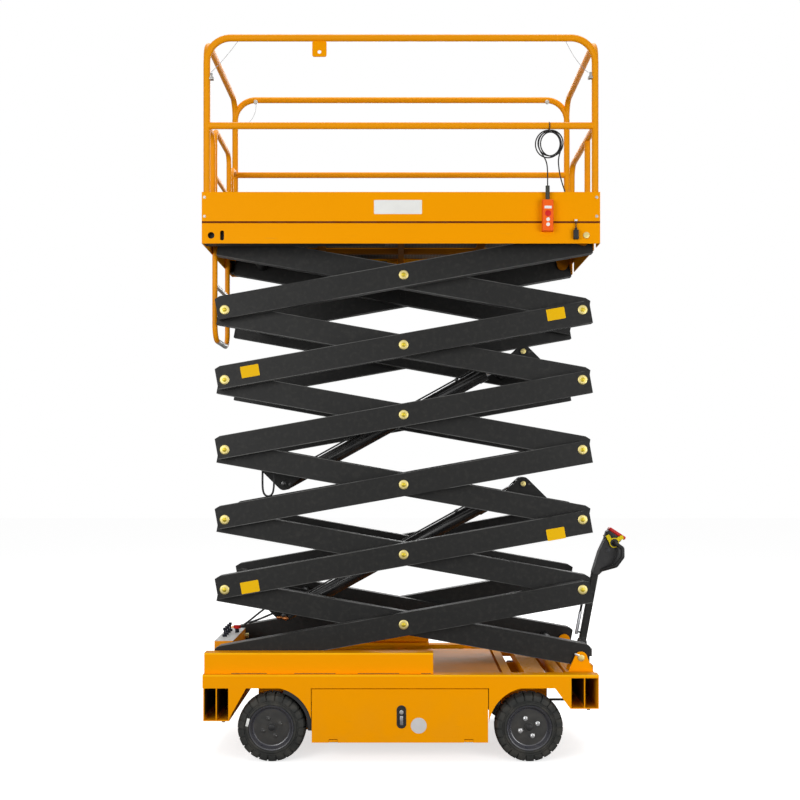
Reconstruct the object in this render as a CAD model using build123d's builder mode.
from build123d import *
from math import copysign, cos, radians, sin, tan
import os

# Tiller-steered scissor lift, standing half raised on level ground.
# Millimetres. X runs along the machine (tiller end is +X), Y across it, Z up from the ground.
# The origin is on the ground under the middle of the whole machine, tiller included.

# ---------------------------------------------------------------- driving sizes
MID = -136.0  # X of the middle of the chassis
MACHINE_WIDTH = 1210.0
HALF_WIDTH = MACHINE_WIDTH / 2
PIN_GAP = 0.3  # radial running clearance round pins
SHEET = 6.0  # usual plate thickness

# scissor arms
STAGES = 6
ARM_SPAN = 2305.0  # from end pin to end pin
REST_ANGLE = 11.056  # slope of the arms as stored
ARM_HEIGHT = 145.0
ARM_WIDTH = 70.0
TUBE_ANGLE = REST_ANGLE - 0.95  # the tubes lie flatter than the line of their end pins
ARM_OVERHANG = 50.0  # arm past its end pin
ARM_CHAMFER_ALONG = 35.0
ARM_CHAMFER_ACROSS = 14.0
INNER_ARM_INSIDE = 322.0
INNER_ARM_OUTSIDE = INNER_ARM_INSIDE + ARM_WIDTH
ARM_GAP = 8.0  # between inner and outer arms
OUTER_ARM_INSIDE = INNER_ARM_OUTSIDE + ARM_GAP
OUTER_ARM_OUTSIDE = OUTER_ARM_INSIDE + ARM_WIDTH
PIN_RADIUS = 20.0
PIN_HEAD_RADIUS = 30.0
PIN_HEAD_DEPTH = 3.0
CROSS_TUBE_RADIUS = 30.0
CROSS_TUBE_ALONG = ARM_SPAN / 2 - 140.5  # from the centre pin, along the arm

FIXED_REACH = ARM_SPAN / 2 - 4.5  # the lowered arms lie centred on the chassis
FIXED_X = MID + FIXED_REACH  # the fixed pivots, at the tiller end
BASE_PIN_Z = 615.0
STAGE_RISE = ARM_SPAN * sin(radians(REST_ANGLE))
STAGE_REACH = ARM_SPAN * cos(radians(REST_ANGLE))
CENTRE_X = FIXED_X - STAGE_REACH / 2
ROLLER_X = FIXED_X - STAGE_REACH
TOP_PIN_Z = BASE_PIN_Z + STAGES * STAGE_RISE

# lift cylinders and their brackets
BRACKET_ALONG = CROSS_TUBE_ALONG - 227.0
BRACKET_ACROSS = 153.0
BRACKET_EYE_RADIUS = 45.0
BRACKET_INSIDE = 60.0
BRACKET_OUTSIDE = 75.0
BRACKET_BASE_NEAR = CROSS_TUBE_ALONG - 372.0  # stretch of arm that a bracket stands on
BRACKET_BASE_FAR = CROSS_TUBE_ALONG + 38.0
BRACKET_BASE_DEPTH = 30.0
STUB_TUBE_ALONG = CROSS_TUBE_ALONG - 312.0
STUB_TUBE_RADIUS = 24.0
BARREL_RADIUS = 47.5
BARREL_LENGTH = 1540.0
ROD_RADIUS = 30.0
ROD_LENGTH = 1440.0
CYLINDER_EYE_HALF = 54.0

# chassis
CHASSIS_HALF = FIXED_REACH + 82.0
BEAM_INSIDE = HALF_WIDTH - 80.0
BEAM_BOTTOM = 461.0
BEAM_TOP = 545.0
BEAM_END = MID + CHASSIS_HALF - 180.0
CROSS_MEMBER_TOP = 520.0
REAR_POCKET_X = (MID - CHASSIS_HALF + 5.0, MID - CHASSIS_HALF + 166.0)
REAR_POCKET_BOTTOM = 258.0
FRONT_POCKET_X = (BEAM_END, BEAM_END + 176.0)
FRONT_POCKET_BOTTOM = 334.0
FRONT_POCKET_TOP = 530.0
TRACK_INSIDE = 478.0
TRACK_OUTSIDE = 565.0
TRACK_WEB = 8.0
BASE_ROLLER_RADIUS = 50.0
BASE_TRACK_X = (MID - CHASSIS_HALF + 4.0, MID + 201.0)
BASE_TRACK_TOP = 674.0
ROLLER_OUTSIDE = 540.0
ROLLER_GAP = 0.5
LUG_THICKNESS = 15.0
LUG_RADIUS = 40.0
LUG_GAP = 5.0
LUG_BASE_X = (FIXED_X - 82.0, FIXED_X + 78.0)

# wheels and axles
WHEEL_RADIUS = 212.5
TYRE_WIDTH = 145.0
WHEEL_FACE = HALF_WIDTH - 5.0
RIM_RADIUS = 140.0
RIM_WALL = 12.0
REAR_AXLE_X = MID - 805.0
FRONT_AXLE_X = MID + 797.0
ARCH_RADIUS = 254.0
AXLE_TUBE_RADIUS = 50.0
AXLE_TUBE_END = WHEEL_FACE - TYRE_WIDTH - 15.0
DIFFERENTIAL_RADIUS = 105.0
SPINDLE_RADIUS = 25.0
SPINDLE_END = WHEEL_FACE - 60.0
HUB_RADIUS = 45.0
KINGPIN_Y = WHEEL_FACE - TYRE_WIDTH - 23.0
KINGPIN_RADIUS = 12.0
STEER_ARM = 110.0
COLUMN_RADIUS = 20.0
COLUMN_X = FRONT_POCKET_X[1] + COLUMN_RADIUS + 4.0
COLUMN_BEARING_Z = (380.0, 500.0)
LINK_RADIUS = 8.0
LINK_EYE_HALF = 9.0  # half the height of an eye
LINK_EYE_RADIUS = 16.0
LINK_PIN_RADIUS = 7.0

# equipment space under the middle of the chassis
DOOR_X = (MID - 553.0, MID + 540.0)
DOOR_THICKNESS = 40.0
DOOR_BOTTOM = 125.0
DOOR_GAP = 5.0
HINGE_INSET = 8.0  # the hinge line, in from the door's face and up from its foot
HINGE_PIN_RADIUS = 5.0
HINGE_PIN_REACH = 44.0
HINGE_TAB_HALF = 25.0
HINGE_OFFSET = 420.0
BOX_X = (MID - 500.0, MID + 480.0)
BOX_HALF_WIDTH = HALF_WIDTH - DOOR_THICKNESS - 10.0  # behind the doors

# platform, measured from the top pins
PLATFORM_HALF = FIXED_REACH + 86.0
SKIRT_BOTTOM = TOP_PIN_Z - 50.0
RIB_BOTTOM = TOP_PIN_Z + 42.0
DECK_BOTTOM = TOP_PIN_Z + 82.0
DECK_TOP = DECK_BOTTOM + 4.0
SKIRT = 8.0
END_SKIRT = 5.0
TOE_TOP = DECK_TOP + 183.0
TOE_THICKNESS = 6.0
TOP_ROLLER_RADIUS = 34.0
TOP_TRACK_END = MID - 100.0
ROUND_HOLE_X = ROLLER_X - 62.0
SLOT_X = ROLLER_X + 6.0
TUBE_RADIUS = 21.0
RAIL_TOP = DECK_TOP + 1147.0
RAIL_MIDDLE = DECK_TOP + 601.0
RAIL_BEND = 150.0
POST_X = PLATFORM_HALF - TUBE_RADIUS
POST_Y = HALF_WIDTH - TOE_THICKNESS - TUBE_RADIUS
LADDER_HALF = 255.0
LADDER_RADIUS = 17.0
LADDER_BOTTOM = TOP_PIN_Z - 605.0
GATE_HALF = 290.0
GATE_TOP = DECK_TOP + 667.0
GATE_BAR = DECK_TOP + 367.0
GATE_BOTTOM = DECK_TOP + 22.0
GATE_HINGE_Y = 334.0
STUB_Y = 378.0


# ---------------------------------------------------------------- helpers
def block(x_range, y_range, z_range, mode=Mode.ADD):
    """A box between three pairs of limits, in the part being built."""
    ranges = (x_range, y_range, z_range)
    middle = tuple((low + high) / 2 for low, high in ranges)
    with Locations(middle):
        Box(*(high - low for low, high in ranges), mode=mode)


def across(x, z, y_range, radius, mode=Mode.ADD):
    """A round bar or bore along Y."""
    low, high = y_range
    with Locations(Location((x, (low + high) / 2, z), (90, 0, 0))):
        Cylinder(radius, high - low, mode=mode)


def along(x_range, y, z, radius, mode=Mode.ADD):
    """A round bar or bore along X."""
    low, high = x_range
    with Locations(Location(((low + high) / 2, y, z), (0, 90, 0))):
        Cylinder(radius, high - low, mode=mode)


def upright(x, y, z_range, radius, mode=Mode.ADD):
    """A round bar or bore along Z."""
    low, high = z_range
    with Locations((x, y, (low + high) / 2)):
        Cylinder(radius, high - low, mode=mode)


def sides(inside, outside):
    """The near and far Y limits of a thing that stands at |y| = inside to outside."""
    return ((-outside, -inside), (inside, outside))


def starts(inside, outside):
    """Where such a thing starts on each side when it is extruded towards -Y."""
    return (-inside, outside)


def side_plane(x, z, y, angle=0.0):
    """A plane across Y at (x, y, z), whose own X slopes up by angle degrees."""
    slope = radians(angle)
    return Plane(origin=(x, y, z), x_dir=(cos(slope), 0, sin(slope)), z_dir=(0, -1, 0))


def bent_tube(points, bend, radius):
    """A round tube along straight runs joined by arcs."""
    with BuildPart() as tube:
        with BuildLine() as route:
            FilletPolyline(*points, radius=bend)
        with BuildSketch(Plane(origin=route.line @ 0, z_dir=route.line % 0)):
            Circle(radius)
        sweep(path=route.line)
    return tube.part


def straight_tube(start, end, radius):
    """A round bar from start to end."""
    run = Vector(*end) - Vector(*start)
    with BuildPart() as tube:
        with BuildSketch(Plane(origin=start, z_dir=run)):
            Circle(radius)
        extrude(amount=run.length)
    return tube.part


def save(part, name):
    """Label a finished piece and write it."""
    part.label = name
    export_step(part, "parts/" + name + ".step")


os.makedirs("parts", exist_ok=True)


# ---------------------------------------------------------------- scissor arms
def arm_point(stage, angle, forward, up):
    """X and Z of a point given along and square to an arm, from its centre pin."""
    slope = radians(angle)
    centre_z = BASE_PIN_Z + (stage - 0.5) * STAGE_RISE
    x = CENTRE_X + forward * cos(slope) - up * sin(slope)
    return (x, centre_z + forward * sin(slope) + up * cos(slope))


def arm_outline():
    """The side view of an arm: a deep tube with all four corners cut back."""
    end = ARM_SPAN / 2 + ARM_OVERHANG
    half = ARM_HEIGHT / 2
    right = [
        (end, -half),
        (end, half - ARM_CHAMFER_ACROSS),
        (end - ARM_CHAMFER_ALONG, half),
    ]
    return right + [(-x, y) for x, y in reversed(right)]


def bracket_outline(direction):
    """A bracket's plate, from its stretch of arm to the round end about its pin."""
    eye = (direction * BRACKET_ALONG, direction * BRACKET_ACROSS)
    low, high = sorted((-direction * BRACKET_BASE_DEPTH, direction * BRACKET_BASE_DEPTH))
    near = direction * BRACKET_BASE_NEAR
    far = direction * BRACKET_BASE_FAR
    with BuildSketch() as plate:
        Polygon((near, low), (far, low), (far, high), (near, high), align=None)
        with Locations(eye):
            Circle(BRACKET_EYE_RADIUS)
        make_hull()
    return plate.sketch


# Which inner frames carry a barrel (-1, under the left half) or a rod (+1, over the right half).
BRACKETS = {1: (-1,), 3: (1, -1), 5: (1,)}

for stage in range(1, STAGES + 1):
    angle = -REST_ANGLE
    with BuildPart() as inner_frame:
        for start in starts(INNER_ARM_INSIDE, INNER_ARM_OUTSIDE):
            centre = arm_point(stage, angle, 0, 0)
            with BuildSketch(side_plane(*centre, start, copysign(TUBE_ANGLE, angle))):
                Polygon(*arm_outline(), align=None)
            extrude(amount=ARM_WIDTH)
        for place in (-CROSS_TUBE_ALONG, CROSS_TUBE_ALONG):
            x, z = arm_point(stage, angle, place, 0)
            across(x, z, (-INNER_ARM_INSIDE, INNER_ARM_INSIDE), CROSS_TUBE_RADIUS)
        for direction in BRACKETS.get(stage, ()):
            for start in starts(BRACKET_INSIDE, BRACKET_OUTSIDE):
                with BuildSketch(side_plane(*arm_point(stage, angle, 0, 0), start, angle)):
                    add(bracket_outline(direction))
                extrude(amount=BRACKET_OUTSIDE - BRACKET_INSIDE)
            x, z = arm_point(stage, angle, direction * STUB_TUBE_ALONG, 0)
            for span in sides(BRACKET_OUTSIDE, INNER_ARM_INSIDE):
                across(x, z, span, STUB_TUBE_RADIUS)
            eye = arm_point(stage, angle, direction * BRACKET_ALONG, direction * BRACKET_ACROSS)
            if direction < 0:
                across(*eye, (-BRACKET_OUTSIDE, BRACKET_OUTSIDE), PIN_RADIUS)
            for span in sides(BRACKET_OUTSIDE, BRACKET_OUTSIDE + SHEET):
                across(*eye, span, PIN_RADIUS + SHEET)
        bores = [0, ARM_SPAN / 2] if stage == STAGES else [-ARM_SPAN / 2, 0, ARM_SPAN / 2]
        for place in bores:
            x, z = arm_point(stage, angle, place, 0)
            for span in sides(INNER_ARM_INSIDE, INNER_ARM_OUTSIDE):
                across(x, z, span, PIN_RADIUS + PIN_GAP, Mode.SUBTRACT)
        if stage == STAGES:
            for span in sides(INNER_ARM_OUTSIDE, ROLLER_OUTSIDE):
                across(ROLLER_X, TOP_PIN_Z, span, PIN_RADIUS)
    save(inner_frame.part, f"inner_frame_{stage}")

for stage in range(1, STAGES + 1):
    angle = REST_ANGLE
    with BuildPart() as outer_frame:
        for start in starts(OUTER_ARM_INSIDE, OUTER_ARM_OUTSIDE):
            centre = arm_point(stage, angle, 0, 0)
            with BuildSketch(side_plane(*centre, start, copysign(TUBE_ANGLE, angle))):
                Polygon(*arm_outline(), align=None)
            extrude(amount=ARM_WIDTH)
        inward_pins = [0]
        if stage > 1:
            inward_pins.append(-ARM_SPAN / 2)
        if stage < STAGES:
            inward_pins.append(ARM_SPAN / 2)
        for place in inward_pins:
            x, z = arm_point(stage, angle, place, 0)
            for span in sides(INNER_ARM_INSIDE, OUTER_ARM_INSIDE):
                across(x, z, span, PIN_RADIUS)
            for span in sides(OUTER_ARM_OUTSIDE, OUTER_ARM_OUTSIDE + PIN_HEAD_DEPTH):
                across(x, z, span, PIN_HEAD_RADIUS)
        if stage == 1:
            for span in sides(OUTER_ARM_OUTSIDE, ROLLER_OUTSIDE):
                across(ROLLER_X, BASE_PIN_Z, span, PIN_RADIUS)
        if stage == STAGES:
            for span in sides(OUTER_ARM_INSIDE, OUTER_ARM_OUTSIDE):
                across(FIXED_X, TOP_PIN_Z, span, PIN_RADIUS + PIN_GAP, Mode.SUBTRACT)
    save(outer_frame.part, f"outer_frame_{stage}")

for name, height, radius in (
    ("base_rollers", BASE_PIN_Z, BASE_ROLLER_RADIUS),
    ("platform_rollers", TOP_PIN_Z, TOP_ROLLER_RADIUS),
):
    with BuildPart() as rollers:
        for span in sides(TRACK_INSIDE, ROLLER_OUTSIDE):
            across(ROLLER_X, height, span, radius)
            across(ROLLER_X, height, span, PIN_RADIUS + PIN_GAP, Mode.SUBTRACT)
    save(rollers.part, name)

# ---------------------------------------------------------------- lift cylinders
for name, barrel_stage in (("low", 1), ("up", 3)):
    foot = arm_point(barrel_stage, -REST_ANGLE, -BRACKET_ALONG, -BRACKET_ACROSS)
    head = arm_point(barrel_stage + 2, -REST_ANGLE, BRACKET_ALONG, BRACKET_ACROSS)
    foot_point = Vector(foot[0], 0, foot[1])
    head_point = Vector(head[0], 0, head[1])
    run = (head_point - foot_point).normalized()
    with BuildPart() as barrel:
        with BuildSketch(Plane(origin=foot_point, z_dir=run)):
            Circle(BARREL_RADIUS)
        extrude(amount=BARREL_LENGTH)
        across(*foot, (-CYLINDER_EYE_HALF, CYLINDER_EYE_HALF), BRACKET_EYE_RADIUS)
        with BuildSketch(Plane(origin=foot_point + run * (BARREL_LENGTH - 60), z_dir=run)):
            Circle(BARREL_RADIUS + 5)
        extrude(amount=60)
        with BuildSketch(Plane(origin=foot_point + run * 120, z_dir=run)):
            Circle(ROD_RADIUS + PIN_GAP)
        extrude(amount=BARREL_LENGTH, mode=Mode.SUBTRACT)
        across(*foot, (-60, 60), PIN_RADIUS + PIN_GAP, Mode.SUBTRACT)
    save(barrel.part, "barrel_" + name)
    with BuildPart() as rod:
        with BuildSketch(Plane(origin=head_point, z_dir=-run)):
            Circle(ROD_RADIUS)
        extrude(amount=ROD_LENGTH)
        across(*head, (-CYLINDER_EYE_HALF, CYLINDER_EYE_HALF), BRACKET_EYE_RADIUS)
    save(rod.part, "rod_" + name)


# ---------------------------------------------------------------- chassis
def pocket_pair(x_range, bottom, top):
    """Two upright rectangular tubes side by side across the machine, open at both ends."""
    low, high = x_range
    middle = (low + high) / 2
    block(x_range, (-HALF_WIDTH, HALF_WIDTH), (bottom, top))
    for left, right in ((low + SHEET, middle - SHEET / 2), (middle + SHEET / 2, high - SHEET)):
        inside = (bottom + SHEET, top - SHEET)
        block((left, right), (-HALF_WIDTH, HALF_WIDTH), inside, Mode.SUBTRACT)


def arch_points(axle_x, toward, inner_x):
    """Where a wheel arch meets the beam and the upright edge beside the equipment space."""
    rise = BEAM_BOTTOM - WHEEL_RADIUS
    top_x = axle_x + toward * (ARCH_RADIUS**2 - rise**2) ** 0.5
    reach = abs(inner_x - axle_x)
    low_z = WHEEL_RADIUS + (ARCH_RADIUS**2 - reach**2) ** 0.5
    turn = radians(45)
    middle = (axle_x + toward * ARCH_RADIUS * cos(turn), WHEEL_RADIUS + ARCH_RADIUS * sin(turn))
    return (top_x, BEAM_BOTTOM), middle, (inner_x, low_z)


REAR_SKIN_X = MID - 558.0
FRONT_SKIN_X = MID + 545.0
REAR_CARRIER_X = (MID - 907.0, MID - 580.0)
FRONT_CARRIER_X = (MID + 650.0, MID + 945.0)
REAR_CARRIER_Y = (400.0, 415.0)
FRONT_CARRIER_Y = (285.0, 300.0)
REAR_CARRIER_BOTTOM = 160.0
FRONT_CARRIER_BOTTOM = 243.0
CROSS_MEMBER_WIDTH = 56.0
FRONT_MEMBERS = (
    (FRONT_CARRIER_X[0], FRONT_CARRIER_X[0] + 55.0),
    (FRONT_CARRIER_X[0] + 140.0, FRONT_CARRIER_X[1] - 25.0),
    (FRONT_CARRIER_X[1] + 36.0, FRONT_CARRIER_X[1] + 92.0),
)

with BuildPart() as chassis_frame:
    for span in sides(BEAM_INSIDE, HALF_WIDTH):
        block((MID - CHASSIS_HALF, BEAM_END), span, (BEAM_BOTTOM, BEAM_TOP))
        block(FRONT_POCKET_X, span, (FRONT_POCKET_TOP - SHEET, BEAM_TOP))
    pocket_pair(FRONT_POCKET_X, FRONT_POCKET_BOTTOM, FRONT_POCKET_TOP)
    pocket_pair(REAR_POCKET_X, REAR_POCKET_BOTTOM, BEAM_BOTTOM + SHEET)
    # cross members, clear below the arms and the lower cylinder
    members = list(FRONT_MEMBERS)
    for x in (*REAR_CARRIER_X, BOX_X[0], MID, BOX_X[1]):
        members.append((x - CROSS_MEMBER_WIDTH / 2, x + CROSS_MEMBER_WIDTH / 2))
    for edges in members:
        block(edges, (-BEAM_INSIDE, BEAM_INSIDE), (BEAM_BOTTOM, CROSS_MEMBER_TOP))
    # plates that carry the axles
    for span in sides(*REAR_CARRIER_Y):
        block(REAR_CARRIER_X, span, (REAR_CARRIER_BOTTOM, BEAM_BOTTOM))
        bore = AXLE_TUBE_RADIUS + PIN_GAP
        across(REAR_AXLE_X, WHEEL_RADIUS, span, bore, Mode.SUBTRACT)
    for span in sides(*FRONT_CARRIER_Y):
        block(FRONT_CARRIER_X, span, (FRONT_CARRIER_BOTTOM, BEAM_BOTTOM))
    # gussets between the beams and the pockets
    for start in starts(HALF_WIDTH - SHEET, HALF_WIDTH):
        with BuildSketch(Plane(origin=(0, start, 0), x_dir=(1, 0, 0), z_dir=(0, -1, 0))):
            inner = REAR_POCKET_X[1]
            Polygon((inner, BEAM_BOTTOM), (inner + 104, BEAM_BOTTOM), (inner, 276), align=None)
            outer = FRONT_POCKET_X[0]
            Polygon(
                (outer, BEAM_BOTTOM),
                (outer - 95, BEAM_BOTTOM),
                (outer, FRONT_POCKET_BOTTOM),
                align=None,
            )
        extrude(amount=SHEET)
    # side skins between the wheel arches and the doors
    for start in starts(HALF_WIDTH - SHEET, HALF_WIDTH):
        for axle_x, toward, inner_x in (
            (REAR_AXLE_X, 1, REAR_SKIN_X),
            (FRONT_AXLE_X, -1, FRONT_SKIN_X),
        ):
            top, middle, low = arch_points(axle_x, toward, inner_x)
            with BuildSketch(Plane(origin=(0, start, 0), x_dir=(1, 0, 0), z_dir=(0, -1, 0))):
                with BuildLine():
                    ThreePointArc(top, middle, low)
                    Polyline(low, (inner_x, BEAM_BOTTOM), top)
                make_face()
            extrude(amount=SHEET)
    # lugs and pins of the fixed pivots
    for inside in (INNER_ARM_INSIDE - LUG_GAP - LUG_THICKNESS, INNER_ARM_OUTSIDE + LUG_GAP):
        for start in starts(inside, inside + LUG_THICKNESS):
            with BuildSketch(Plane(origin=(0, start, 0), x_dir=(1, 0, 0), z_dir=(0, -1, 0))):
                foot = FRONT_POCKET_TOP
                Polygon(
                    (LUG_BASE_X[0], foot),
                    (LUG_BASE_X[1], foot),
                    (FIXED_X + LUG_RADIUS * 0.8, BASE_PIN_Z + LUG_RADIUS * 0.6),
                    (FIXED_X - LUG_RADIUS * 0.8, BASE_PIN_Z + LUG_RADIUS * 0.6),
                    align=None,
                )
                with Locations((FIXED_X, BASE_PIN_Z)):
                    Circle(LUG_RADIUS)
            extrude(amount=LUG_THICKNESS)
    pin_ends = (
        INNER_ARM_INSIDE - LUG_GAP - LUG_THICKNESS,
        INNER_ARM_OUTSIDE + LUG_GAP + LUG_THICKNESS,
    )
    for span in sides(*pin_ends):
        across(FIXED_X, BASE_PIN_Z, span, PIN_RADIUS)
    # bearing of the steering column, in front of the pockets
    bearing_half = COLUMN_RADIUS + 20
    bearing_x = (FRONT_POCKET_X[1], COLUMN_X + bearing_half)
    block(bearing_x, (-bearing_half, bearing_half), COLUMN_BEARING_Z)
    upright(COLUMN_X, 0, COLUMN_BEARING_Z, COLUMN_RADIUS + PIN_GAP, Mode.SUBTRACT)
save(chassis_frame.part, "chassis_frame")

# sheet over the equipment space, with a slot for hoses along each beam
COVER_X = (BOX_X[0] - CROSS_MEMBER_WIDTH / 2, FRONT_CARRIER_X[0] - 20.0)
COVER_HALF_WIDTH = 470.0
COVER_THICKNESS = 4.0
with BuildPart() as cover_sheet:
    cover_z = (CROSS_MEMBER_TOP, CROSS_MEMBER_TOP + COVER_THICKNESS)
    block(COVER_X, (-COVER_HALF_WIDTH, COVER_HALF_WIDTH), cover_z)
save(cover_sheet.part, "cover_sheet")

with BuildPart() as base_tracks:
    for low, high in sides(TRACK_INSIDE, TRACK_OUTSIDE):
        block(BASE_TRACK_X, (low, high), (BEAM_TOP, BASE_TRACK_TOP))
        channel = (low, high - TRACK_WEB) if low > 0 else (low + TRACK_WEB, high)
        floor = BASE_PIN_Z - BASE_ROLLER_RADIUS - ROLLER_GAP
        block(BASE_TRACK_X, channel, (floor, BASE_TRACK_TOP - TRACK_WEB), Mode.SUBTRACT)
save(base_tracks.part, "base_tracks")

HINGE_Y = HALF_WIDTH - HINGE_INSET
HINGE_Z = DOOR_BOTTOM + HINGE_INSET
HINGE_X = (MID - HINGE_OFFSET, MID + HINGE_OFFSET)
with BuildPart() as equipment_box:
    block(BOX_X, (-BOX_HALF_WIDTH, BOX_HALF_WIDTH), (DOOR_BOTTOM, DOOR_BOTTOM + SHEET))
    for x in (BOX_X[0], BOX_X[1] - SHEET):
        width = (-BOX_HALF_WIDTH, BOX_HALF_WIDTH)
        block((x, x + SHEET), width, (DOOR_BOTTOM, BEAM_BOTTOM))
    # tabs and pins of the door hinges
    for x in HINGE_X:
        tab = (x - HINGE_TAB_HALF, x + HINGE_TAB_HALF)
        for span in sides(BOX_HALF_WIDTH, HINGE_Y):
            block(tab, span, (DOOR_BOTTOM, DOOR_BOTTOM + SHEET))
        for side in (-1, 1):
            along(tab, side * HINGE_Y, HINGE_Z, HINGE_INSET)
            pin = (x - HINGE_PIN_REACH, x + HINGE_PIN_REACH)
            along(pin, side * HINGE_Y, HINGE_Z, HINGE_PIN_RADIUS)
save(equipment_box.part, "equipment_box")

BATTERY_X = (MID - 460.0, MID - 20.0)
BATTERY_HALF_WIDTH = BOX_HALF_WIDTH - 75.0
BATTERY_TOP = 400.0
with BuildPart() as battery_block:
    width = (-BATTERY_HALF_WIDTH, BATTERY_HALF_WIDTH)
    block(BATTERY_X, width, (DOOR_BOTTOM + SHEET, BATTERY_TOP))
save(battery_block.part, "battery_block")

with BuildPart() as drive_axle:
    across(REAR_AXLE_X, WHEEL_RADIUS, (-AXLE_TUBE_END, AXLE_TUBE_END), AXLE_TUBE_RADIUS)
    with Locations((REAR_AXLE_X, 0, WHEEL_RADIUS)):
        Sphere(DIFFERENTIAL_RADIUS)
    across(REAR_AXLE_X, WHEEL_RADIUS, (-SPINDLE_END, SPINDLE_END), SPINDLE_RADIUS)
save(drive_axle.part, "drive_axle")

BEAM_HALF_DEPTH = 40.0
STEER_BEAM_Z = (WHEEL_RADIUS - 30, FRONT_CARRIER_BOTTOM)
FORK_Z = (162.0, 263.0)
FORK_EAR = 14.0
FORK_HALF_WIDTH = 28.0
FORK_PLATE_Y = (KINGPIN_Y - 62, KINGPIN_Y - 47)
EAR_RADIUS = 24.0
with BuildPart() as steer_axle:
    front = (FRONT_AXLE_X - BEAM_HALF_DEPTH, FRONT_AXLE_X + BEAM_HALF_DEPTH)
    block(front, (-FORK_PLATE_Y[0], FORK_PLATE_Y[0]), STEER_BEAM_Z)
    fork = (FRONT_AXLE_X - FORK_HALF_WIDTH, FRONT_AXLE_X + FORK_HALF_WIDTH)
    ears = ((FORK_Z[0], FORK_Z[0] + FORK_EAR), (FORK_Z[1] - FORK_EAR, FORK_Z[1]))
    ear_x = (FRONT_AXLE_X - EAR_RADIUS, FRONT_AXLE_X + EAR_RADIUS)
    for side, (low, high) in zip((-1, 1), sides(FORK_PLATE_Y[1], KINGPIN_Y)):
        for span in sides(*FORK_PLATE_Y):
            block(fork, span, FORK_Z)
        for ear in ears:
            block(ear_x, (low, high), ear)
            upright(FRONT_AXLE_X, side * KINGPIN_Y, ear, EAR_RADIUS)
        upright(FRONT_AXLE_X, side * KINGPIN_Y, FORK_Z, KINGPIN_RADIUS)
save(steer_axle.part, "steer_axle")

CONTROL_BOX_X = (MID - CHASSIS_HALF + 18.0, MID - CHASSIS_HALF + 140.0)
CONTROL_BOX_HALF = 280.0
PANEL_Z = 703.0
PANEL_EDGE = 8.0
with BuildPart() as control_box:
    box_z = (BEAM_BOTTOM + SHEET, PANEL_Z)
    block(CONTROL_BOX_X, (-CONTROL_BOX_HALF, CONTROL_BOX_HALF), box_z)
    fillet(control_box.edges().filter_by(Axis.Z), 6)
save(control_box.part, "control_box")

# four lever switches in a row, and the stop button behind them
LEVER_X = CONTROL_BOX_X[0] + 38.0
LEVER_Y = (-100.0, -20.0, 60.0, 140.0)
LEVER_HEIGHT = 58.0
STOP_PLACE = (CONTROL_BOX_X[0] + 94.0, 80.0)
with BuildPart() as control_switches:
    for y in LEVER_Y:
        upright(LEVER_X, y, (PANEL_Z, PANEL_Z + 14), 15)
        upright(LEVER_X, y, (PANEL_Z + 14, PANEL_Z + LEVER_HEIGHT - 16), 6)
        upright(LEVER_X, y, (PANEL_Z + LEVER_HEIGHT - 16, PANEL_Z + LEVER_HEIGHT), 11)
    upright(*STOP_PLACE, (PANEL_Z, PANEL_Z + 28), 14)
    upright(*STOP_PLACE, (PANEL_Z + 28, PANEL_Z + 48), 24)
save(control_switches.part, "control_switches")

# ---------------------------------------------------------------- doors of the equipment space
for name, side in (("door_near", -1), ("door_far", 1)):
    with BuildPart() as door:
        inner_face = HALF_WIDTH - DOOR_THICKNESS
        span = sorted((side * inner_face, side * HALF_WIDTH))
        block(DOOR_X, span, (DOOR_BOTTOM, BEAM_BOTTOM - DOOR_GAP))
        # oval pull with its latch, sunk in the outer face
        with BuildSketch(side_plane(MID + 3, 290, side * HALF_WIDTH, 90)):
            SlotOverall(84, 32)
        extrude(amount=side * 14, mode=Mode.SUBTRACT)
        # notches and bores for the hinges
        for x in HINGE_X:
            notch = (x - HINGE_TAB_HALF - 2, x + HINGE_TAB_HALF + 2)
            block(notch, span, (DOOR_BOTTOM, HINGE_Z + HINGE_INSET + DOOR_GAP), Mode.SUBTRACT)
            bore = (x - HINGE_PIN_REACH - 1, x + HINGE_PIN_REACH + 1)
            along(bore, side * HINGE_Y, HINGE_Z, HINGE_PIN_RADIUS + PIN_GAP, Mode.SUBTRACT)
    save(door.part, name)


# ---------------------------------------------------------------- steering and tiller
TIE_X = FRONT_AXLE_X - STEER_ARM
ARM_Z = (190.0, 206.0)
TIE_Z = 217.0
DRAG_Z = 262.0
ARM_HALF = 10.0
TIE_PIN_RADIUS = 6.0
for name, side in (("near", -1), ("far", 1)):
    y = side * KINGPIN_Y
    with BuildPart() as knuckle:
        upright(FRONT_AXLE_X, y, (FORK_Z[0] + FORK_EAR + 1, FORK_Z[1] - FORK_EAR - 1), EAR_RADIUS)
        span = sorted((y, side * SPINDLE_END))
        across(FRONT_AXLE_X, WHEEL_RADIUS, span, SPINDLE_RADIUS)
        block((TIE_X, FRONT_AXLE_X), (y - ARM_HALF, y + ARM_HALF), ARM_Z)
        upright(TIE_X, y, ARM_Z, ARM_HALF)
        upright(FRONT_AXLE_X, y, FORK_Z, KINGPIN_RADIUS + PIN_GAP, Mode.SUBTRACT)
        upright(TIE_X, y, ARM_Z, TIE_PIN_RADIUS + PIN_GAP, Mode.SUBTRACT)
    save(knuckle.part, "knuckle_" + name)

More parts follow.
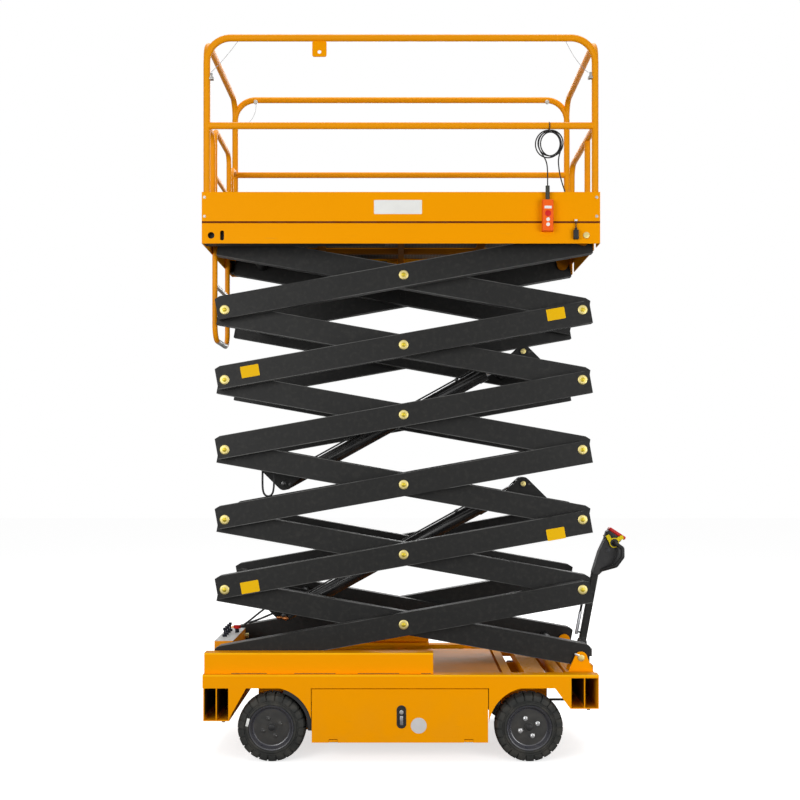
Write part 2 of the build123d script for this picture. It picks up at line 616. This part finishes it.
with BuildPart() as tie_rod:
    across(TIE_X, TIE_Z, (-KINGPIN_Y, KINGPIN_Y), LINK_RADIUS)
    for y in (-KINGPIN_Y, KINGPIN_Y):
        upright(TIE_X, y, (ARM_Z[1] + 1, TIE_Z + LINK_EYE_HALF), LINK_EYE_RADIUS)
        upright(TIE_X, y, (ARM_Z[0], TIE_Z), TIE_PIN_RADIUS)
    upright(TIE_X, 0, (TIE_Z - LINK_EYE_HALF, DRAG_Z - LINK_EYE_HALF - 1), LINK_EYE_RADIUS)
    upright(TIE_X, 0, (TIE_Z, DRAG_Z + LINK_EYE_HALF), LINK_PIN_RADIUS)
save(tie_rod.part, "tie_rod")

CRANK_X = COLUMN_X - STEER_ARM
CRANK_Z = (236.0, DRAG_Z - LINK_EYE_HALF - 1)
with BuildPart() as drag_link:
    edge = LINK_PIN_RADIUS + 5
    add(straight_tube((TIE_X + edge, 0, DRAG_Z), (CRANK_X - edge, 0, DRAG_Z), LINK_RADIUS))
    drilled = (DRAG_Z - LINK_EYE_HALF, DRAG_Z + LINK_EYE_HALF)
    for x in (TIE_X, CRANK_X):
        upright(x, 0, drilled, LINK_EYE_RADIUS)
        upright(x, 0, drilled, LINK_PIN_RADIUS + PIN_GAP, Mode.SUBTRACT)
save(drag_link.part, "drag_link")

TILT_X = COLUMN_X - 28.0
YOKE_FOOT = COLUMN_BEARING_Z[1] + 60.0
YOKE_TOP = YOKE_FOOT + 52.0
TILT_Z = YOKE_TOP + 41.0
TILLER_LEAN = 10.5
TILLER_WIDTH = 46.0
TILT_PIN = 10.0
YOKE_EAR = 26.0
TUBE_LENGTH = 479.0
SPRING_OFFSET = 48.0  # gas spring, square to the shaft on the machine's side
SPRING_ENDS = (60.0, 270.0)  # along the shaft from the tilt pin
SPRING_RADIUS = 9.0
with BuildPart() as tiller_column:
    upright(COLUMN_X, 0, (CRANK_Z[0], YOKE_FOOT), COLUMN_RADIUS)
    collar = (COLUMN_BEARING_Z[1] + ROLLER_GAP, YOKE_FOOT)
    upright(COLUMN_X, 0, collar, COLUMN_RADIUS + 3)
    block((CRANK_X, COLUMN_X), (-12, 12), CRANK_Z)
    upright(CRANK_X, 0, CRANK_Z, LINK_EYE_RADIUS)
    upright(CRANK_X, 0, (CRANK_Z[0], DRAG_Z + LINK_EYE_HALF), LINK_PIN_RADIUS)
    yoke_half = TILLER_WIDTH / 2 + 18
    block((TILT_X - 28, COLUMN_X + 32), (-yoke_half, yoke_half), (YOKE_FOOT, YOKE_TOP))
    for span in sides(TILLER_WIDTH / 2 + 5, yoke_half):
        block((TILT_X - YOKE_EAR, TILT_X + YOKE_EAR), span, (YOKE_TOP, TILT_Z))
        across(TILT_X, TILT_Z, span, YOKE_EAR)
    across(TILT_X, TILT_Z, (-yoke_half - 3, yoke_half + 3), TILT_PIN)
save(tiller_column.part, "tiller_column")

lean = radians(TILLER_LEAN)
tube_top = (TILT_X + TUBE_LENGTH * sin(lean), 0, TILT_Z + TUBE_LENGTH * cos(lean))
with BuildPart() as tiller_shaft:
    with BuildSketch(Plane(origin=(TILT_X, 0, TILT_Z), z_dir=(sin(lean), 0, cos(lean)))):
        RectangleRounded(TILLER_WIDTH, TILLER_WIDTH, 6)
    extrude(amount=TUBE_LENGTH)
    across(TILT_X, TILT_Z, (-TILLER_WIDTH / 2 - 1, TILLER_WIDTH / 2 + 1), TILLER_WIDTH / 2 + 3)
    # gas spring beside the shaft, on two studs
    for distance in SPRING_ENDS:
        foot = (TILT_X + distance * sin(lean), 0, TILT_Z + distance * cos(lean))
        stud = (foot[0] - SPRING_OFFSET * cos(lean), 0, foot[2] + SPRING_OFFSET * sin(lean))
        add(straight_tube(foot, stud, SPRING_RADIUS - 3))
    spring = []
    for distance in (SPRING_ENDS[0] - 14, SPRING_ENDS[1] - 80, SPRING_ENDS[1] + 14):
        x = TILT_X + distance * sin(lean) - SPRING_OFFSET * cos(lean)
        spring.append((x, 0, TILT_Z + distance * cos(lean) + SPRING_OFFSET * sin(lean)))
    add(straight_tube(spring[0], spring[1], SPRING_RADIUS))
    add(straight_tube(spring[1], spring[2], SPRING_RADIUS - 1))
    across(TILT_X, TILT_Z, (-50, 50), TILT_PIN + PIN_GAP, Mode.SUBTRACT)
save(tiller_shaft.part, "tiller_shaft")

# head of the tiller: a moulded body, two loop grips, and the hub with its buttons
HEAD_HALF = 38.0
HUB = (tube_top[0] + 121.0, tube_top[2] + 199.0)
HUB_RADIUS = 27.0
GRIP_RADIUS = 13.0
with BuildPart() as tiller_head:
    body = [
        (tube_top[0] - 24, tube_top[2] - 8),
        (tube_top[0] + 22, tube_top[2] + 140),
        (tube_top[0] + 64, tube_top[2] + 228),
        (HUB[0] + 4, HUB[1] + 20),
        (HUB[0] + 28, HUB[1] - 62),
        (HUB[0] - 8, HUB[1] - 138),
        (tube_top[0] + 40, tube_top[2] + 2),
        (tube_top[0] + 20, tube_top[2] - 18),
    ]
    with BuildSketch(side_plane(0, 0, HEAD_HALF)):
        Polygon(*body, align=None)
    extrude(amount=HEAD_HALF * 2)
    fillet(tiller_head.edges().filter_by(Axis.Y), 8)
    across(*HUB, (-HEAD_HALF - 16, HEAD_HALF + 16), HUB_RADIUS)
    for side in (-1, 1):
        loop = [
            (HUB[0], side * (HEAD_HALF + 4), HUB[1]),
            (HUB[0], side * (HEAD_HALF + 32), HUB[1]),
            (HUB[0] + 46, side * 96, HUB[1] - 34),
            (HUB[0] + 44, side * 108, HUB[1] - 90),
            (HUB[0] + 4, side * 92, HUB[1] - 150),
            (tube_top[0] + 24, side * 22, tube_top[2] + 10),
        ]
        add(bent_tube(loop, 14, GRIP_RADIUS))
    # neck that swallows the top of the shaft
    cut = Plane(origin=(TILT_X, 0, TILT_Z), z_dir=(sin(lean), 0, cos(lean)))
    with BuildSketch(cut):
        RectangleRounded(TILLER_WIDTH, TILLER_WIDTH, 6)
    extrude(amount=TUBE_LENGTH, mode=Mode.SUBTRACT)
save(tiller_head.part, "tiller_head")

# drive rockers on the ends of the hub, and the stop button that crowns the head
ROCKER_SPAN = (HEAD_HALF + PIN_GAP, HEAD_HALF + 14)
with BuildPart() as tiller_rockers:
    for low, high in ((-ROCKER_SPAN[1], -ROCKER_SPAN[0]), ROCKER_SPAN):
        across(*HUB, (low, high), HUB_RADIUS + 6)
        for place, slope in ((HUB[0] - 34, 60), (HUB[0] + 36, -28)):
            with Locations(Location((place, (low + high) / 2, HUB[1] + 28), (0, slope, 0))):
                Box(52, high - low, 26)
        across(*HUB, (low, high), HUB_RADIUS + PIN_GAP, Mode.SUBTRACT)
save(tiller_rockers.part, "tiller_rockers")

STOP_TILT = 33.0
with BuildPart() as stop_button:
    middle = (HUB[0] + 24, 0, HUB[1] + 60)
    with Locations(Location(middle, (0, STOP_TILT, 0))):
        Box(128, HEAD_HALF * 2, 24)
    fillet(stop_button.edges(), 9)
    with Locations(Location((HUB[0] + 6, 0, HUB[1] + 34), (0, STOP_TILT, 0))):
        Box(70, HEAD_HALF * 2 - 16, 44)
    across(*HUB, (-46, 46), HUB_RADIUS + PIN_GAP, Mode.SUBTRACT)
    with BuildSketch(side_plane(0, 0, HEAD_HALF + 1)):
        Polygon(*body, align=None)
    extrude(amount=HEAD_HALF * 2 + 2, mode=Mode.SUBTRACT)
save(stop_button.part, "stop_button")

# ---------------------------------------------------------------- wheels
WHEELS = (
    ("rear_near", REAR_AXLE_X, -1),
    ("rear_far", REAR_AXLE_X, 1),
    ("front_near", FRONT_AXLE_X, -1),
    ("front_far", FRONT_AXLE_X, 1),
)
DISC_OUT = WHEEL_FACE - 32
DISC_THICKNESS = 12.0
BARREL_FACE = WHEEL_FACE - 8
for name, axle_x, side in WHEELS:
    tyre_back = WHEEL_FACE - TYRE_WIDTH
    with BuildPart() as tyre:
        with BuildSketch(Plane(origin=(axle_x, 0, WHEEL_RADIUS), x_dir=(0, side, 0), z_dir=(side, 0, 0))):
            Polygon(
                (tyre_back, RIM_RADIUS),
                (WHEEL_FACE - 4, RIM_RADIUS),
                (WHEEL_FACE, RIM_RADIUS + 10),
                (WHEEL_FACE - 4, WHEEL_RADIUS - 22),
                (WHEEL_FACE - 20, WHEEL_RADIUS),
                (tyre_back + 20, WHEEL_RADIUS),
                (tyre_back, WHEEL_RADIUS - 22),
                align=None,
            )
        revolve(axis=Axis((axle_x, 0, WHEEL_RADIUS), (0, 1, 0)))
    save(tyre.part, "tyre_" + name)
    with BuildPart() as rim:
        for span, radius, mode in (
            ((tyre_back + 5, BARREL_FACE), RIM_RADIUS, Mode.ADD),
            ((tyre_back + 5, BARREL_FACE), RIM_RADIUS - RIM_WALL, Mode.SUBTRACT),
            ((DISC_OUT - DISC_THICKNESS, DISC_OUT), RIM_RADIUS - 6, Mode.ADD),
            ((KINGPIN_Y + 40, DISC_OUT + 10), HUB_RADIUS, Mode.ADD),
            ((KINGPIN_Y + 40, SPINDLE_END + 1), SPINDLE_RADIUS + PIN_GAP, Mode.SUBTRACT),
        ):
            across(axle_x, WHEEL_RADIUS, sorted((side * span[0], side * span[1])), radius, mode)
    save(rim.part, "rim_" + name)

# ---------------------------------------------------------------- platform
STRINGER_Y = (200.0, 240.0)
RIB_SPACING = 540.0
RIB_X = (MID - RIB_SPACING, MID, MID + RIB_SPACING)
RIB_WIDTH = 40.0
TOP_TRACK_X = (MID - PLATFORM_HALF + END_SKIRT, TOP_TRACK_END)
TOP_LUG_X = (FIXED_X - 60.0, FIXED_X + 72.0)
TOP_LUG_GAP = 8.0
TOP_LUG = 18.0
NOTCH_ABOVE_PIN = 24.0
with BuildPart() as platform_frame:
    length = (MID - PLATFORM_HALF, MID + PLATFORM_HALF)
    for span in sides(HALF_WIDTH - SKIRT, HALF_WIDTH):
        block(length, span, (SKIRT_BOTTOM, DECK_BOTTOM))
    for x in (length[0], length[1] - END_SKIRT):
        block((x, x + END_SKIRT), (-HALF_WIDTH, HALF_WIDTH), (SKIRT_BOTTOM, DECK_BOTTOM))
    # notches that the lower corners of the raised outer arms swing through
    for span in sides(INNER_ARM_OUTSIDE, OUTER_ARM_OUTSIDE + TOP_LUG_GAP):
        notch_x = (length[1] - END_SKIRT, length[1])
        block(notch_x, span, (SKIRT_BOTTOM, TOP_PIN_Z + NOTCH_ABOVE_PIN), Mode.SUBTRACT)
    for span in sides(*STRINGER_Y):
        block(length, span, (RIB_BOTTOM, DECK_BOTTOM))
    for x in RIB_X:
        edges = (x - RIB_WIDTH / 2, x + RIB_WIDTH / 2)
        block(edges, (-HALF_WIDTH, HALF_WIDTH), (RIB_BOTTOM, DECK_BOTTOM))
    # lugs of the fixed pivots hang from the deck
    lug_sides = (
        INNER_ARM_OUTSIDE - TOP_LUG,
        OUTER_ARM_OUTSIDE + TOP_LUG_GAP,
    )
    for inside in lug_sides:
        for start in starts(inside, inside + TOP_LUG):
            with BuildSketch(Plane(origin=(0, start, 0), x_dir=(1, 0, 0), z_dir=(0, -1, 0))):
                left, right = TOP_LUG_X
                Polygon(
                    (left, DECK_BOTTOM),
                    (right, DECK_BOTTOM),
                    (FIXED_X + LUG_RADIUS * 0.9, TOP_PIN_Z - LUG_RADIUS * 0.4),
                    (FIXED_X - LUG_RADIUS * 0.9, TOP_PIN_Z - LUG_RADIUS * 0.4),
                    align=None,
                )
                with Locations((FIXED_X, TOP_PIN_Z)):
                    Circle(LUG_RADIUS)
            extrude(amount=TOP_LUG)
    for span in sides(lug_sides[0], HALF_WIDTH + 2):
        across(FIXED_X, TOP_PIN_Z, span, PIN_RADIUS)
    # round hole and slot in the skirts, over the rollers
    for span in sides(HALF_WIDTH - SKIRT, HALF_WIDTH):
        across(ROUND_HOLE_X, TOP_PIN_Z, span, 21, Mode.SUBTRACT)
    for start in starts(HALF_WIDTH - SKIRT, HALF_WIDTH):
        with BuildSketch(side_plane(SLOT_X, TOP_PIN_Z, start, 90)):
            SlotOverall(62, 25)
        extrude(amount=SKIRT, mode=Mode.SUBTRACT)
save(platform_frame.part, "platform_frame")

with BuildPart() as platform_tracks:
    for low, high in sides(TRACK_INSIDE, TRACK_OUTSIDE):
        floor = TOP_PIN_Z - TOP_ROLLER_RADIUS - ROLLER_GAP
        block(TOP_TRACK_X, (low, high), (floor - TRACK_WEB, RIB_BOTTOM))
        channel = (low, high - TRACK_WEB) if low > 0 else (low + TRACK_WEB, high)
        block(TOP_TRACK_X, channel, (floor, RIB_BOTTOM - 7), Mode.SUBTRACT)
save(platform_tracks.part, "platform_tracks")

TREAD_EDGE = 50.0  # bare edge that the posts and toe boards stand on
TREAD_DEPTH = 2.0
with BuildPart() as deck:
    deck_x = (MID - PLATFORM_HALF, MID + PLATFORM_HALF)
    block(deck_x, (-HALF_WIDTH, HALF_WIDTH), (DECK_BOTTOM, DECK_TOP - TREAD_DEPTH))
    tread_x = (deck_x[0] + TREAD_EDGE, deck_x[1] - TREAD_EDGE)
    tread_y = (-HALF_WIDTH + TREAD_EDGE, HALF_WIDTH - TREAD_EDGE)
    block(tread_x, tread_y, (DECK_TOP - TREAD_DEPTH, DECK_TOP))
save(deck.part, "deck")

with BuildPart() as toe_boards:
    toe_z = (DECK_TOP, TOE_TOP)
    length = (MID - PLATFORM_HALF, MID + PLATFORM_HALF)
    for span in sides(HALF_WIDTH - TOE_THICKNESS, HALF_WIDTH):
        block(length, span, toe_z)
    block((length[1] - TOE_THICKNESS, length[1]), (-HALF_WIDTH, HALF_WIDTH), toe_z)
    for span in sides(STUB_Y + TUBE_RADIUS, HALF_WIDTH):
        block((length[0], length[0] + TOE_THICKNESS), span, toe_z)
save(toe_boards.part, "toe_boards")

PLATFORM_END = MID + PLATFORM_HALF

# side guardrails: one hoop each, with a middle rail
RAIL_X = POST_X - TOE_THICKNESS
rear_x = MID - RAIL_X
front_x = MID + RAIL_X
hoops = {}
for name, side in (("near", -1), ("far", 1)):
    y = side * POST_Y
    with BuildPart() as guardrail:
        corners = [
            (rear_x, y, DECK_TOP),
            (rear_x, y, RAIL_TOP),
            (front_x, y, RAIL_TOP),
            (front_x, y, DECK_TOP),
        ]
        add(bent_tube(corners, RAIL_BEND, TUBE_RADIUS))
        add(straight_tube((rear_x, y, RAIL_MIDDLE), (front_x, y, RAIL_MIDDLE), TUBE_RADIUS))
    save(guardrail.part, "guardrail_" + name)
    hoops[name] = guardrail.part

END_BEND = 110.0
END_TUBE_RADIUS = TUBE_RADIUS - 1
END_START_Y = POST_Y - TUBE_RADIUS / 2  # inside the posts, which then trim the tube
with BuildPart() as end_rails:
    for x in (rear_x, front_x):
        corners = [
            (x, -POST_Y, RAIL_TOP - 260),
            (x, -POST_Y, RAIL_TOP - 18),
            (x, POST_Y, RAIL_TOP - 18),
            (x, POST_Y, RAIL_TOP - 260),
        ]
        add(bent_tube(corners, END_BEND, END_TUBE_RADIUS))
    # tiller end: a middle rail that turns down into a post, and a second post
    corners = [
        (front_x, -END_START_Y, RAIL_MIDDLE),
        (front_x, 341, RAIL_MIDDLE),
        (front_x, 341, DECK_TOP),
    ]
    add(bent_tube(corners, 90, END_TUBE_RADIUS))
    add(straight_tube((front_x, -300, DECK_TOP), (front_x, -300, RAIL_MIDDLE), END_TUBE_RADIUS - 1))
    # entry end: a short middle rail on each side that turns down beside the gate
    for side in (-1, 1):
        corners = [
            (rear_x, side * END_START_Y, RAIL_MIDDLE),
            (rear_x, side * STUB_Y, RAIL_MIDDLE),
            (rear_x, side * STUB_Y, DECK_TOP),
        ]
        add(bent_tube(corners, 90, END_TUBE_RADIUS))
    # hinge eyes of the gate
    for z in (GATE_BOTTOM + 60, GATE_TOP - 190):
        block((rear_x - 10, rear_x + 10), (GATE_HINGE_Y - 10, STUB_Y - 15), (z, z + 20))
        upright(rear_x, GATE_HINGE_Y, (z, z + 60), 6)
    for hoop in hoops.values():
        add(hoop, mode=Mode.SUBTRACT)
save(end_rails.part, "end_rails")

GATE_POST = GATE_HALF
with BuildPart() as gate:
    corners = [
        (rear_x, -GATE_POST, GATE_BOTTOM),
        (rear_x, -GATE_POST, GATE_TOP),
        (rear_x, GATE_POST, GATE_TOP),
        (rear_x, GATE_POST, GATE_BOTTOM),
    ]
    add(bent_tube(corners, 70, 17))
    add(straight_tube((rear_x, -GATE_POST, GATE_BAR), (rear_x, GATE_POST, GATE_BAR), 14))
    block((rear_x - 3, rear_x + 3), (-GATE_POST, GATE_POST), (GATE_BOTTOM, TOE_TOP))
    for z in (GATE_BOTTOM + 60, GATE_TOP - 190):
        block((rear_x - 8, rear_x + 8), (GATE_POST, GATE_HINGE_Y), (z + 20.5, z + 58))
        upright(rear_x, GATE_HINGE_Y, (z + 20.5, z + 58), 11)
        upright(rear_x, GATE_HINGE_Y, (z + 20.5, z + 58), 6 + PIN_GAP, Mode.SUBTRACT)
save(gate.part, "gate")

# ladder down from the platform's entry end
LADDER_TOP = RIB_BOTTOM
with BuildPart() as ladder:
    ladder_x = MID - PLATFORM_HALF + END_SKIRT + LADDER_RADIUS
    corners = [
        (ladder_x, -LADDER_HALF, LADDER_TOP),
        (ladder_x, -LADDER_HALF, LADDER_BOTTOM),
        (ladder_x, LADDER_HALF, LADDER_BOTTOM),
        (ladder_x, LADDER_HALF, LADDER_TOP),
    ]
    add(bent_tube(corners, 100, LADDER_RADIUS))
    middle_z = (LADDER_BOTTOM + DECK_TOP) / 2 + 10
    add(straight_tube((ladder_x, -LADDER_HALF, middle_z), (ladder_x, LADDER_HALF, middle_z), 15))
save(ladder.part, "ladder")

# pendant control hung on the near toe board, with its cable
PENDANT_WIDTH = 68.0
PENDANT_DEPTH = 48.0
PENDANT_X = PLATFORM_END - 329.0
PENDANT_Z = (DECK_TOP - 66.0, DECK_TOP + 125.0)
RELIEF_RADIUS = 13.0
RELIEF_TOP = PENDANT_Z[1] + 89.0
RELIEF_Y = -HALF_WIDTH - PENDANT_DEPTH / 2
CABLE_RADIUS = 4.0
with BuildPart() as pendant:
    edges = (PENDANT_X - PENDANT_WIDTH / 2, PENDANT_X + PENDANT_WIDTH / 2)
    depth = (-HALF_WIDTH - PENDANT_DEPTH - PIN_GAP, -HALF_WIDTH - PIN_GAP)
    block(edges, depth, PENDANT_Z)
    fillet(pendant.edges().filter_by(Axis.Z), 10)
    upright(PENDANT_X, RELIEF_Y, (PENDANT_Z[1], RELIEF_TOP), RELIEF_RADIUS)
save(pendant.part, "pendant")

# gland on the inside of the toe board, where the cable enters the platform's wiring
GLAND_X = PLATFORM_END - 206.0
GLAND_Y = -HALF_WIDTH + TOE_THICKNESS + 12.0
GLAND_TOP = DECK_TOP + 107.0
with BuildPart() as cable_gland:
    block((GLAND_X - 15, GLAND_X + 15), (GLAND_Y - 12, GLAND_Y + 12), (GLAND_TOP - 60, GLAND_TOP - 24))
    upright(GLAND_X, GLAND_Y, (GLAND_TOP - 24, GLAND_TOP), 9)
save(cable_gland.part, "cable_gland")

# coil of the spare cable under the near middle rail
COIL_X = PLATFORM_END - 308.0
COIL_Y = -POST_Y
COIL_WIDTH = 169.0
COIL_HEIGHT = 194.0
COIL_BAND = 22.0
COIL_DEPTH = 26.0
COIL_TOP = RAIL_MIDDLE - TUBE_RADIUS - PIN_GAP
COIL_Z = COIL_TOP - COIL_HEIGHT / 2
with BuildPart() as pendant_cable_coil:
    with BuildSketch(side_plane(COIL_X, COIL_Z, COIL_Y + COIL_DEPTH / 2)):
        Ellipse(COIL_WIDTH / 2, COIL_HEIGHT / 2)
        Ellipse(COIL_WIDTH / 2 - COIL_BAND, COIL_HEIGHT / 2 - COIL_BAND, mode=Mode.SUBTRACT)
    extrude(amount=COIL_DEPTH)
save(pendant_cable_coil.part, "pendant_cable_coil")


def cable_run(points):
    """A cable through points, its arcs as large as the runs beside each point allow."""
    corners = [Vector(*point) for point in points]
    radii = []
    for before, corner, after in zip(corners, corners[1:], corners[2:]):
        shorter = min((corner - before).length, (after - corner).length)
        turn = radians((corner - before).get_angle(after - corner))
        radii.append(0.45 * shorter / tan(turn / 2))
    print("cable radii", [round(radius) for radius in radii])
    return bent_tube(points, radii, CABLE_RADIUS)


from_gland = [
    (GLAND_X, GLAND_Y, GLAND_TOP),
    (GLAND_X, GLAND_Y, GLAND_TOP + 40),
    (GLAND_X - 10, GLAND_Y + 3, GLAND_TOP + 86),
    (GLAND_X - 27, GLAND_Y + 6, GLAND_TOP + 138),
    (GLAND_X - 40, GLAND_Y + 8, GLAND_TOP + 190),
    (GLAND_X - 45, GLAND_Y + 8, GLAND_TOP + 240),
    (GLAND_X - 46, GLAND_Y + 9, GLAND_TOP + 290),
    (GLAND_X - 49, GLAND_Y + 9, GLAND_TOP + 332),
]
to_pendant = [
    (PENDANT_X, RELIEF_Y, RELIEF_TOP),
    (PENDANT_X, RELIEF_Y, RELIEF_TOP + 38),
    (PENDANT_X + 2, RELIEF_Y + 9, RELIEF_TOP + 78),
    (PENDANT_X + 5, RELIEF_Y + 25, RELIEF_TOP + 118),
    (PENDANT_X + 9, RELIEF_Y + 42, RELIEF_TOP + 154),
    (PENDANT_X + 13, COIL_Y, RELIEF_TOP + 182),
]
with BuildPart() as pendant_cable:
    add(cable_run(from_gland))
    add(cable_run(to_pendant))
save(pendant_cable.part, "pendant_cable")

# plate under the near top rail, for hooking on a lanyard
HOOK_X = MID - 507.0
HOOK_WIDTH = 89.0
HOOK_DEPTH = 98.0
HOOK_BORE = 12.0
with BuildPart() as hook_plate:
    plate_top = RAIL_TOP - TUBE_RADIUS + 2
    plate_bottom = plate_top - HOOK_DEPTH
    block((HOOK_X - HOOK_WIDTH / 2, HOOK_X + HOOK_WIDTH / 2), (-POST_Y - 3, -POST_Y + 3), (plate_bottom, plate_top))
    fillet(hook_plate.edges().filter_by(Axis.Y), 12)
    across(HOOK_X, plate_bottom + 30, (-POST_Y - 5, -POST_Y + 5), HOOK_BORE, Mode.SUBTRACT)
save(hook_plate.part, "hook_plate")
